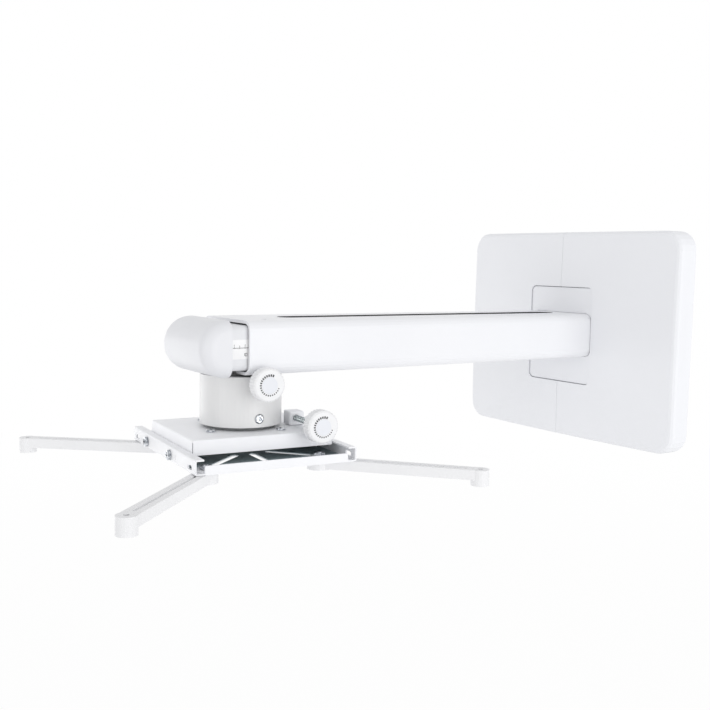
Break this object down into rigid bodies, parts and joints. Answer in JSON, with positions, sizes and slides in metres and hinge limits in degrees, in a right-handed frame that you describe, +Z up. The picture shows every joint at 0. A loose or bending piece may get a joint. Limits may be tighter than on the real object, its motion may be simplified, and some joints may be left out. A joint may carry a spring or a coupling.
{
  "type": "projector wall mount",
  "caption": "White wall mount for a short throw projector, a telescoping rectangular arm on a covered wall plate, with a round neck, a slotted plate and spider arms",
  "frame": {"origin": "centre of the wall plate's back face, on the arm's centre line", "axes": "+Y into the wall, -Y along the arm away from the wall, +Z up, +X to the right as seen from the room facing the wall"},
  "size_m": [0.3629, 0.6619, 0.2495],
  "materials": {
    "steel_plate": "satin",
    "dark_steel": "satin",
    "zinc": "satin",
    "cover_plastic": "matt",
    "arm_paint": "satin",
    "glide_plastic": "matt",
    "cap_plastic": "satin",
    "neck_paint": "satin",
    "knob_plastic": "satin",
    "sheet_paint": "satin",
    "spider_paint": "satin"
  },
  "bodies": {
    "wall_arm": {"wall_plate": "steel_plate", "arm_socket": "dark_steel", "socket_bolt_1": "zinc", "socket_bolt_2": "zinc", "socket_bolt_3": "zinc", "socket_bolt_4": "zinc", "cover_left": "cover_plastic", "cover_right": "cover_plastic", "cover_insert": "cover_plastic", "cover_insert_low": "cover_plastic", "arm_tube": "arm_paint", "slot_strip": "glide_plastic", "front_glide": "glide_plastic", "arm_lock_screw_1": "zinc", "arm_lock_screw_2": "zinc"},
    "extension": {"sliding_tube": "arm_paint", "rear_glide": "glide_plastic", "end_cap": "cap_plastic", "neck_spigot": "dark_steel", "spigot_bolt": "zinc"},
    "neck": {"neck_tube": "neck_paint", "neck_base": "dark_steel", "neck_screw_1": "zinc", "neck_screw_2": "zinc"},
    "neck_thumb_knob": {"neck_knob": "knob_plastic", "neck_knob_stud": "zinc"},
    "interface": {"turntable_disc": "dark_steel", "pivot_bolt": "zinc", "pivot_nut": "zinc", "tray": "sheet_paint", "tray_screw_1": "zinc", "tray_screw_2": "zinc", "tray_screw_3": "zinc", "tray_screw_4": "zinc", "clamp_lug": "sheet_paint", "rail_spacer_front_1": "zinc", "rail_spacer_front_2": "zinc", "rail_spacer_back_1": "zinc", "rail_spacer_back_2": "zinc", "rail_screw_front_1": "dark_steel", "rail_screw_front_2": "dark_steel", "rail_screw_back_1": "dark_steel", "rail_screw_back_2": "dark_steel"},
    "clamp_thumb_knob": {"clamp_knob": "knob_plastic", "clamp_knob_stud": "zinc"},
    "plate": {"projector_plate": "sheet_paint"},
    "bolt_front_left": {"spider_bolt_front_left": "zinc", "spider_nut_front_left": "zinc"},
    "spider_front_left": {"spider_arm_front_left": "spider_paint"},
    "bolt_front_right": {"spider_bolt_front_right": "zinc", "spider_nut_front_right": "zinc"},
    "spider_front_right": {"spider_arm_front_right": "spider_paint"},
    "bolt_back_right": {"spider_bolt_back_right": "zinc", "spider_nut_back_right": "zinc"},
    "spider_back_right": {"spider_arm_back_right": "spider_paint"},
    "bolt_back_left": {"spider_bolt_back_left": "zinc", "spider_nut_back_left": "zinc"},
    "spider_back_left": {"spider_arm_back_left": "spider_paint"}
  },
  "joints": [
    {"name": "arm_extend", "type": "slide", "parent": "wall_arm", "child": "extension", "axis": [0, -1, 0], "range_m": [-0.0148, 0.2]},
    {"name": "neck_swivel", "type": "hinge", "parent": "extension", "child": "neck", "pos_m": [0, -0.471, -0.05], "axis": [0, 0, 1], "range_deg": [-5, 12]},
    {"name": "neck_knob_turn", "type": "hinge", "parent": "neck", "child": "neck_thumb_knob", "pos_m": [0.05989, -0.47456, -0.033], "axis": [0.9982, -0.0593, 0], "range_deg": [-180, 180]},
    {"name": "interface_swivel", "type": "hinge", "parent": "neck", "child": "interface", "pos_m": [0, -0.471, -0.078], "axis": [0, 0, 1], "range_deg": [-30, 30]},
    {"name": "clamp_knob_turn", "type": "hinge", "parent": "interface", "child": "clamp_thumb_knob", "pos_m": [0.08092, -0.42856, -0.0725], "axis": [0.9963, -0.0854, 0], "range_deg": [-180, 180]},
    {"name": "plate_tilt", "type": "hinge", "parent": "interface", "child": "plate", "pos_m": [0.02391, -0.47305, -0.0993], "axis": [0.0854, 0.9963, 0], "range_deg": [-1.9, 1.9]},
    {"name": "bolt_slide_front_left", "type": "slide", "parent": "plate", "child": "bolt_front_left", "axis": [-0.7512, -0.6601, 0], "range_m": [-0.043, 0.0236]},
    {"name": "spider_turn_front_left", "type": "hinge", "parent": "bolt_front_left", "child": "spider_front_left", "pos_m": [-0.06394, -0.51448, -0.11], "axis": [0, 0, 1], "range_deg": [-25, 25]},
    {"name": "bolt_slide_front_right", "type": "slide", "parent": "plate", "child": "bolt_front_right", "axis": [0.6279, -0.7783, 0], "range_m": [-0.0633, 0.0033]},
    {"name": "spider_turn_front_right", "type": "hinge", "parent": "bolt_front_right", "child": "spider_front_right", "pos_m": [0.06835, -0.54052, -0.11], "axis": [0, 0, 1], "range_deg": [-25, 25]},
    {"name": "bolt_slide_back_right", "type": "slide", "parent": "plate", "child": "bolt_back_right", "axis": [0.7649, 0.6441, 0], "range_m": [-0.052, 0.0117]},
    {"name": "spider_turn_back_right", "type": "hinge", "parent": "bolt_back_right", "child": "spider_back_right", "pos_m": [0.06655, -0.42051, -0.11], "axis": [0, 0, 1], "range_deg": [-25, 25]},
    {"name": "bolt_slide_back_left", "type": "slide", "parent": "plate", "child": "bolt_back_left", "axis": [-0.6441, 0.7649, 0], "range_m": [-0.052, 0.0117]},
    {"name": "spider_turn_back_left", "type": "hinge", "parent": "bolt_back_left", "child": "spider_back_left", "pos_m": [-0.05698, -0.40992, -0.11], "axis": [0, 0, 1], "range_deg": [-25, 25]}
  ]
}
